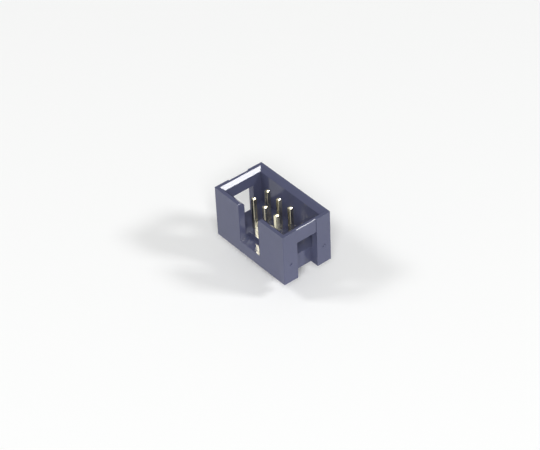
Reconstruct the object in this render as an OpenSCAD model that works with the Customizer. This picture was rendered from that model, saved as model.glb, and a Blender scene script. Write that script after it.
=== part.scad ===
// Box header: the board half of a flat ribbon cable connector.
//
// A moulded housing stands around two rows of square contacts. Its cavity is
// open at the top and takes the cable's socket. A slot in one long side guides
// the socket's key, and a window in each short end runs down past the end of
// the base. The contacts pass through the base and end below it as tails.
//
// Millimetres. The origin is the middle of the contact field, on the face that
// sits on the circuit board. X runs along the rows, the key slot is on the -Y
// side, and +Z points out of the mouth.

/* [Contacts] */
// Number of contacts in each of the two rows
columns = 3; // [2:1:8]
// Distance between neighbouring contacts, along a row and between the rows
pitch = 2.54; // [2.4:0.01:2.7]
// Width of a contact, which is square
pin_w = 0.64; // [0.5:0.01:0.8]
// Height of the contact tips over the board
pin_top = 8.2; // [7:0.1:10]
// Length of the solder tails below the housing
tail_length = 3; // [2:0.1:4]
// Length of the four-sided point at each end of a contact
point_length = 0.2; // [0.1:0.05:0.6]
// Width of the flat at the end of a point
point_flat = 0.24; // [0.1:0.02:0.45]
// Gap on each side between a contact and its hole in the base
pin_clearance = 0.01; // [0.005:0.005:0.05]

/* [Housing] */
// Length from an outer contact's centre to the end of the housing
end_length = 5.08; // [4.8:0.01:6]
// Width of the housing, across the rows
body_w = 8.7; // [8.6:0.1:11]
// Height of the housing over the board
body_h = 8.7; // [8:0.1:11]
// Thickness of the four walls round the cavity
wall = 1.1; // [0.8:0.05:1.25]
// Height of the cavity's floor over the board
floor_h = 2.7; // [2.2:0.1:4]
// Width and depth of the 45 degree lead-in round the mouth
lead_in = 0.55; // [0.2:0.05:0.7]
// Radius of the upright outer corners
corner_r = 0.1; // [0.05:0.05:0.5]

/* [Key slot] */
// Width of the slot for the socket's key
key_w = 4.4; // [3.5:0.1:5]
// Height of the slot's sill over the board
key_sill = 2; // [1.2:0.05:2.1]
// Depth of the slot from the outer face, through the wall and into the base
key_depth = 1.75; // [1.3:0.05:2.2]
// Radius on the wall's two corners at the top of the slot
key_lead_r = 0.35; // [0.1:0.05:0.6]

/* [End windows] */
// Width of the window in each short end
window_w = 3.6; // [3:0.1:4.5]
// Height of the top of the window over the board
window_top = 6.3; // [5:0.1:7]
// Depth of the window from the end face to the end of the base
window_depth = 1.5; // [1.3:0.05:2.4]
// Setback of the lintel over the window from the end face
lintel_setback = 0.1; // [0.05:0.05:0.3]
// Width and depth of the bevel along the lintel's outer top edge
lintel_bevel = 0.08; // [0.04:0.02:0.3]

/* [Small moulding detail] */
// Diameter of the ejector mark on each end post
mark_d = 0.5; // [0.3:0.05:0.8]
// Depth of an ejector mark
mark_depth = 0.1; // [0.05:0.05:0.2]
// Height of the ejector marks over the board
mark_h = 3.2; // [1:0.1:5]
// Width of the relief groove in the underside along each row
groove_w = 1.5; // [1.1:0.1:1.8]
// Depth of the relief grooves
groove_depth = 0.3; // [0.1:0.05:0.5]
// Length of a relief groove past the outer contact's centre
groove_overhang = 1.3; // [0.8:0.1:2]

/* [Hidden] */
rows = 2;
pin_count = columns * rows;

$fn = 48;
// How far a cut runs past the surface that it opens
over = 0.5;

field_l = (columns - 1) * pitch;
body_l = field_l + 2 * end_length;
cavity_l = body_l - 2 * wall;
cavity_w = body_w - 2 * wall;
hole_w = pin_w + 2 * pin_clearance;
post_y = (window_w / 2 + body_w / 2) / 2;
SIDES = [-1, 1];

// Centre of contact n. They are numbered column by column from the -X end,
// starting at the key side.
function pin_place(n) = [
    (floor((n - 1) / rows) - (columns - 1) / 2) * pitch,
    ((n - 1) % rows - (rows - 1) / 2) * pitch
];

// An outline drawn in X and Z, extruded to a length that is centred on Y.
module along_y(length) {
    rotate([90, 0, 0])
        linear_extrude(length, center = true)
            children();
}

// An outline drawn in Y and Z, extruded to a length that is centred on X.
module along_x(length) {
    rotate([90, 0, 90])
        linear_extrude(length, center = true)
            children();
}

// A straight-sided outline that widens upwards from low_w at z_low to high_w
// at z_high.
module flare_outline(low_w, high_w, z_low, z_high) {
    polygon([
        [-low_w / 2, z_low],
        [low_w / 2, z_low],
        [high_w / 2, z_high],
        [-high_w / 2, z_high]
    ]);
}

// Plan of the housing, a rectangle with rounded corners.
module body_plan() {
    difference() {
        square([body_l, body_w], center = true);
        for (x = SIDES, y = SIDES)
            scale([x, y])
                translate([body_l / 2 - corner_r, body_w / 2 - corner_r])
                    difference() {
                        square(corner_r + over);
                        circle(corner_r);
                    }
    }
}

// The space for the socket, from the floor up through the mouth.
module cavity() {
    depth = body_h + over - floor_h;
    translate([-cavity_l / 2, -cavity_w / 2, floor_h])
        cube([cavity_l, cavity_w, depth]);
}

// The lead-in round the mouth, with mitred corners.
module mouth_lead_in() {
    z_low = body_h - lead_in;
    z_high = body_h + over;
    growth = 2 * (lead_in + over);
    intersection() {
        along_y(body_w + 2 * over + growth)
            flare_outline(cavity_l, cavity_l + growth, z_low, z_high);
        along_x(body_l + 2 * over + growth)
            flare_outline(cavity_w, cavity_w + growth, z_low, z_high);
    }
}

// Outline of the key slot, with the wall's top corners rounded off.
module key_outline() {
    translate([-key_w / 2, key_sill])
        square([key_w, body_h + over - key_sill]);
    for (side = SIDES)
        scale([side, 1])
            translate([key_w / 2, body_h - key_lead_r])
                difference() {
                    square([key_lead_r, key_lead_r + over]);
                    translate([key_lead_r, 0])
                        circle(key_lead_r);
                }
}

// The key slot, through the -Y wall and on into the base.
module key_slot() {
    y_middle = -body_w / 2 + (key_depth - over) / 2;
    translate([0, y_middle, 0])
        along_y(key_depth + over)
            key_outline();
}

// One end's window, open at the bottom, and the notch in the base behind it.
module end_window() {
    translate([body_l / 2 - window_depth, -window_w / 2, -over])
        cube([window_depth + over, window_w, window_top + over]);
}

// What is cut from the outer face of one end's lintel: the setback and the
// bevel along its top edge.
module lintel_cut() {
    face_x = body_l / 2 - lintel_setback;
    along_y(window_w)
        polygon([
            [body_l / 2 + over, window_top - over],
            [face_x, window_top - over],
            [face_x, body_h - lintel_bevel],
            [face_x - lintel_bevel - over, body_h + over],
            [body_l / 2 + over, body_h + over]
        ]);
}

// The round marks that the ejector pins leave on one end's two posts.
module ejector_marks() {
    for (side = SIDES)
        translate([body_l / 2 - mark_depth, side * post_y, mark_h])
            rotate([0, 90, 0])
                cylinder(d = mark_d, h = mark_depth + over);
}

// Everything that is cut from one short end.
module end_cuts() {
    end_window();
    lintel_cut();
    ejector_marks();
}

// Square holes in the base for the contacts.
module contact_holes() {
    for (n = [1 : pin_count])
        translate(concat(pin_place(n), floor_h / 2))
            cube([hole_w, hole_w, floor_h + 2 * over], center = true);
}

// Grooves in the underside that keep the base clear of the solder joints.
module relief_grooves() {
    length = field_l + 2 * groove_overhang;
    for (side = SIDES)
        translate([0, side * pitch / 2, (groove_depth - over) / 2])
            cube([length, groove_w, groove_depth + over], center = true);
}

// The moulded housing, in one piece.
module housing() {
    color([0.22, 0.23, 0.28])
        difference() {
            linear_extrude(body_h)
                body_plan();
            cavity();
            mouth_lead_in();
            key_slot();
            end_cuts();
            rotate([0, 0, 180])
                end_cuts();
            contact_holes();
            relief_grooves();
        }
}

// One face of a contact: a straight shank with a point at each end.
module pin_outline() {
    polygon([
        [-point_flat / 2, -tail_length],
        [point_flat / 2, -tail_length],
        [pin_w / 2, point_length - tail_length],
        [pin_w / 2, pin_top - point_length],
        [point_flat / 2, pin_top],
        [-point_flat / 2, pin_top],
        [-pin_w / 2, pin_top - point_length],
        [-pin_w / 2, point_length - tail_length]
    ]);
}

// Contact n, one straight square pin from tip to tail.
module pin(n) {
    color([0.83, 0.69, 0.35])
        translate(concat(pin_place(n), 0))
            intersection() {
                along_y(pin_w)
                    pin_outline();
                along_x(pin_w)
                    pin_outline();
            }
}

housing();
for (n = [1 : pin_count])
    pin(n);
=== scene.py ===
"""Looks of the box header: plastic housing, gold plated contacts, studio and camera.

Everything is in metres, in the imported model's frame: X along the rows of contacts, the
key slot on the -Y side, +Z out of the mouth, z = 0 on the face that sits on the board.
"""

import math

import bpy
from mathutils import Matrix, Vector


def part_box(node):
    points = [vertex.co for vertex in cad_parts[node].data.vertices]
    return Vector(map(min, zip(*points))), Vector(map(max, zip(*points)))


MM = 0.001

# --- driving values -----------------------------------------------------------

# Directions are in degrees, as seen from the part: azimuth is turned from +X towards
# +Y, and elevation is raised from the level
CAMERA_AZIMUTH = -37.74
CAMERA_ELEVATION = 39.99
CAMERA_DISTANCE = 270 * MM
# How far the camera is turned about its own axis, in degrees
CAMERA_ROLL = -2.85
LENS_MM = 125.8
# What the camera aims at, from the middle of the housing
AIM_OFFSET = Vector((-0.09, -0.47, -0.21)) * MM

# Lamps: direction, width of the soft box, and the share of full white that a level
# white surface gets from it
LAMP_DISTANCE = 1.5
LAMPS = {
    "soft_box_right": {"azimuth": 36, "elevation": 38.5, "width": 0.27, "share": 0.205},
    "soft_box_left": {"azimuth": 231, "elevation": 46.5, "width": 0.36, "share": 0.175},
    "soft_box_front": {"azimuth": -37.7, "elevation": 41, "width": 0.5, "share": 0.40},
}
WORLD_LEVEL = 0.24

# Colours are scene-linear. Tones are the factors between which a colour varies. A gloss
# is the shader's specular level, and 0.5 is what the index of refraction gives
PLASTIC = (0.092, 0.099, 0.169)
PLASTIC_TONES = (0.95, 1.05)
PLASTIC_ROUGHNESS = (0.10, 0.15)
PLASTIC_IOR = 1.5
PLASTIC_GLOSS = 0.35
GOLD = (0.96, 0.90, 0.66)
GOLD_TONES = (0.94, 1.04)
GOLD_ROUGHNESS = (0.13, 0.20)
FLOOR_COLOUR = (0.965, 0.97, 0.965)
FLOOR_TONES = (0.995, 1.005)
FLOOR_ROUGHNESS = 0.9
FLOOR_GLOSS = 0.1

# The plastic's surface: width of its flow shading, its waviness and its grain
FLOW_WIDTH = 6 * MM
WAVE_WIDTH = 1.6 * MM
WAVE_DEPTH = 0.004 * MM
GRAIN_WIDTH = 0.12 * MM
GRAIN_DEPTH = 0.0012 * MM

# The gold's surface: width of its clouds, and the lines that drawing leaves on the wire,
# which are long along Z
CLOUD_WIDTH = 0.9 * MM
LINE_WIDTH = 0.05 * MM
LINE_DEPTH = 0.0008 * MM
LINE_STRETCH = (1, 1, 0.03)

# The floor is square
FLOOR_HALF_WIDTH = 1.5
FLOOR_CLOUD_WIDTH = 0.25

# Radius of the broken edges, and the steps that round them
HOUSING_EDGE = 0.018 * MM
PIN_EDGE = 0.09 * MM
EDGE_STEPS = 3
# Edges that turn more than this are rounded, in degrees
SHARP_ANGLE = 40
# Faces that turn less than this are joined into one, in degrees
FLAT_ANGLE = 0.5
# Corners closer than this are one
JOIN_DISTANCE = 0.0005 * MM

# A noise runs from 0 to 1, and nearly all of it lies between these
NOISE_LOW = 0.3
NOISE_HIGH = 0.7


# --- node tools ---------------------------------------------------------------


class Graph:
    """A short way to build one material's node tree."""

    def __init__(self, name):
        self.material = bpy.data.materials.new(name)
        self.material.use_nodes = True
        self.nodes = self.material.node_tree.nodes
        self.links = self.material.node_tree.links
        self.shader = self.nodes["Principled BSDF"]
        coordinates = self.nodes.new("ShaderNodeTexCoord")
        self.place = coordinates.outputs["Object"]

    def fill(self, node, **inputs):
        """Sets a node's inputs: a socket is linked, anything else is a value."""
        for key, value in inputs.items():
            socket = node.inputs[key.replace("_", " ")]
            if isinstance(value, bpy.types.NodeSocket):
                self.links.new(value, socket)
            else:
                socket.default_value = value

    def add(self, kind, **inputs):
        """A new node with its inputs set."""
        node = self.nodes.new(kind)
        self.fill(node, **inputs)
        return node

    def noise(self, width, detail=2.0, roughness=0.5, stretch=(1, 1, 1)):
        """Noise whose features are about width metres across, from 0 to 1."""
        scale = [s / width for s in stretch]
        mapping = self.add("ShaderNodeMapping", Vector=self.place, Scale=scale)
        noise = self.add(
            "ShaderNodeTexNoise",
            Vector=mapping.outputs["Vector"],
            Scale=1.0,
            Detail=detail,
            Roughness=roughness,
        )
        return noise.outputs["Fac"]

    def spread(self, noise, low, high):
        """Maps the middle of a noise's range onto low to high."""
        node = self.add(
            "ShaderNodeMapRange",
            Value=noise,
            From_Min=NOISE_LOW,
            From_Max=NOISE_HIGH,
            To_Min=low,
            To_Max=high,
        )
        return node.outputs["Result"]

    def shade(self, colour, factor):
        """The colour times a factor."""
        node = self.add("ShaderNodeVectorMath", Vector=colour)
        node.operation = "SCALE"
        self.fill(node, Scale=factor)
        return node.outputs["Vector"]

    def bump(self, height, depth, below=None):
        """Relief of a depth in metres, on top of another bump where one is given."""
        node = self.add("ShaderNodeBump", Height=height, Distance=depth)
        if below is not None:
            self.fill(node, Normal=below)
        return node.outputs["Normal"]


# --- materials ----------------------------------------------------------------


def housing_plastic():
    """Moulded thermoplastic: slate blue and glossy, with faint flow shading."""
    g = Graph("housing_plastic")
    flow = g.noise(FLOW_WIDTH, detail=3.0)
    grain = g.noise(GRAIN_WIDTH, detail=3.0, roughness=0.6)
    waves = g.noise(WAVE_WIDTH, detail=1.0)
    g.fill(
        g.shader,
        Base_Color=g.shade(PLASTIC, g.spread(flow, *PLASTIC_TONES)),
        Roughness=g.spread(grain, *PLASTIC_ROUGHNESS),
        Normal=g.bump(grain, GRAIN_DEPTH, below=g.bump(waves, WAVE_DEPTH)),
        IOR=PLASTIC_IOR,
        Specular_IOR_Level=PLASTIC_GLOSS,
    )
    return g.material


def contact_gold():
    """Gold plate over drawn brass wire, with fine draw lines along its length."""
    g = Graph("contact_gold")
    cloud = g.noise(CLOUD_WIDTH)
    lines = g.noise(LINE_WIDTH, stretch=LINE_STRETCH)
    g.fill(
        g.shader,
        Base_Color=g.shade(GOLD, g.spread(cloud, *GOLD_TONES)),
        Metallic=1.0,
        Roughness=g.spread(lines, *GOLD_ROUGHNESS),
        Normal=g.bump(lines, LINE_DEPTH),
    )
    return g.material


def studio_white():
    """The pale, even surface that the part stands over."""
    g = Graph("studio_floor")
    cloud = g.noise(FLOOR_CLOUD_WIDTH, detail=1.0)
    g.fill(
        g.shader,
        Base_Color=g.shade(FLOOR_COLOUR, g.spread(cloud, *FLOOR_TONES)),
        Roughness=FLOOR_ROUGHNESS,
        Specular_IOR_Level=FLOOR_GLOSS,
    )
    return g.material


# --- the part -----------------------------------------------------------------


def soften_edges(piece, radius):
    """Joins the faces of a CAD node and rounds its sharp edges by a small radius."""
    weld = piece.modifiers.new("join_faces", "WELD")
    weld.merge_threshold = JOIN_DISTANCE
    flat = piece.modifiers.new("flat_faces", "DECIMATE")
    flat.decimate_type = "DISSOLVE"
    flat.angle_limit = math.radians(FLAT_ANGLE)
    bevel = piece.modifiers.new("broken_edges", "BEVEL")
    bevel.width = radius
    bevel.segments = EDGE_STEPS
    bevel.limit_method = "ANGLE"
    bevel.angle_limit = math.radians(SHARP_ANGLE)
    bevel.use_clamp_overlap = False
    # The flat faces stay flat in the shading, and only the rounded edges are smooth
    bevel.face_strength_mode = "FSTR_ALL"
    normals = piece.modifiers.new("face_normals", "WEIGHTED_NORMAL")
    normals.mode = "CORNER_ANGLE"
    normals.keep_sharp = False
    normals.use_face_influence = True


def dress(piece, material, radius):
    """Gives a CAD node its material and its broken edges."""
    piece.data.materials.clear()
    piece.data.materials.append(material)
    for face in piece.data.polygons:
        face.use_smooth = True
    soften_edges(piece, radius)


# --- studio -------------------------------------------------------------------


def add_floor(height):
    """A level square, well past what the camera sees."""
    h = FLOOR_HALF_WIDTH
    mesh = bpy.data.meshes.new("studio_floor")
    corners = [(-h, -h, height), (h, -h, height), (h, h, height), (-h, h, height)]
    mesh.from_pydata(corners, [], [(0, 1, 2, 3)])
    floor = bpy.data.objects.new("studio_floor", mesh)
    bpy.context.scene.collection.objects.link(floor)
    mesh.materials.append(studio_white())


def direction(azimuth, elevation):
    """The unit vector of a direction in degrees."""
    around = math.radians(azimuth)
    above = math.radians(elevation)
    level = Vector((math.cos(around), math.sin(around), 0))
    return level * math.cos(above) + Vector((0, 0, math.sin(above)))


def stand_off(data, target, towards, distance, roll=0):
    """Puts a lamp or camera at a distance from the target, looking back at it."""
    thing = bpy.data.objects.new(data.name, data)
    bpy.context.scene.collection.objects.link(thing)
    place = Matrix.Translation(target + towards * distance)
    turn = towards.to_track_quat("Z", "Y").to_matrix().to_4x4()
    thing.matrix_world = place @ turn @ Matrix.Rotation(math.radians(roll), 4, "Z")
    return thing


def add_lamp(name, target, azimuth, elevation, width, share):
    """A square soft box, as strong as its share of full white on level white needs."""
    towards = direction(azimuth, elevation)
    data = bpy.data.lights.new(name, "AREA")
    data.shape = "SQUARE"
    data.size = width
    data.energy = share * math.pi**2 * LAMP_DISTANCE**2 / towards.z
    stand_off(data, target, towards, LAMP_DISTANCE)


def add_world():
    """An even white surround."""
    world = bpy.data.worlds.new("studio")
    bpy.context.scene.world = world
    world.use_nodes = True
    sky = world.node_tree.nodes["Background"]
    sky.inputs["Color"].default_value = (1, 1, 1, 1)
    sky.inputs["Strength"].default_value = WORLD_LEVEL


def add_camera(target):
    """The camera of the main view."""
    towards = direction(CAMERA_AZIMUTH, CAMERA_ELEVATION)
    data = bpy.data.cameras.new("camera")
    data.lens = LENS_MM
    camera = stand_off(data, target, towards, CAMERA_DISTANCE, CAMERA_ROLL)
    bpy.context.scene.camera = camera


# --- making -------------------------------------------------------------------

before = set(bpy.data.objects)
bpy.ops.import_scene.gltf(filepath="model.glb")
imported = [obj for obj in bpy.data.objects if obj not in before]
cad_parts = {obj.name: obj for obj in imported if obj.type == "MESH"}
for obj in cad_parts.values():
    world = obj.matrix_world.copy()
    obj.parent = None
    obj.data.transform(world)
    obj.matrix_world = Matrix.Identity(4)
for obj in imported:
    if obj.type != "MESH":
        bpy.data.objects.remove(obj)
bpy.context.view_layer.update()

housing_low, housing_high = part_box("housing")
middle = (housing_low + housing_high) / 2
pins = sorted(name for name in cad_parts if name.startswith("pin_"))
tail_end = min(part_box(name)[0].z for name in pins)

add_camera(middle + AIM_OFFSET)
add_world()
for lamp_name, lamp in LAMPS.items():
    add_lamp(lamp_name, middle, **lamp)
add_floor(tail_end)

dress(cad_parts["housing"], housing_plastic(), HOUSING_EDGE)
gold = contact_gold()
for name in pins:
    dress(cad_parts[name], gold, PIN_EDGE)

bpy.context.scene.view_settings.view_transform = "Standard"
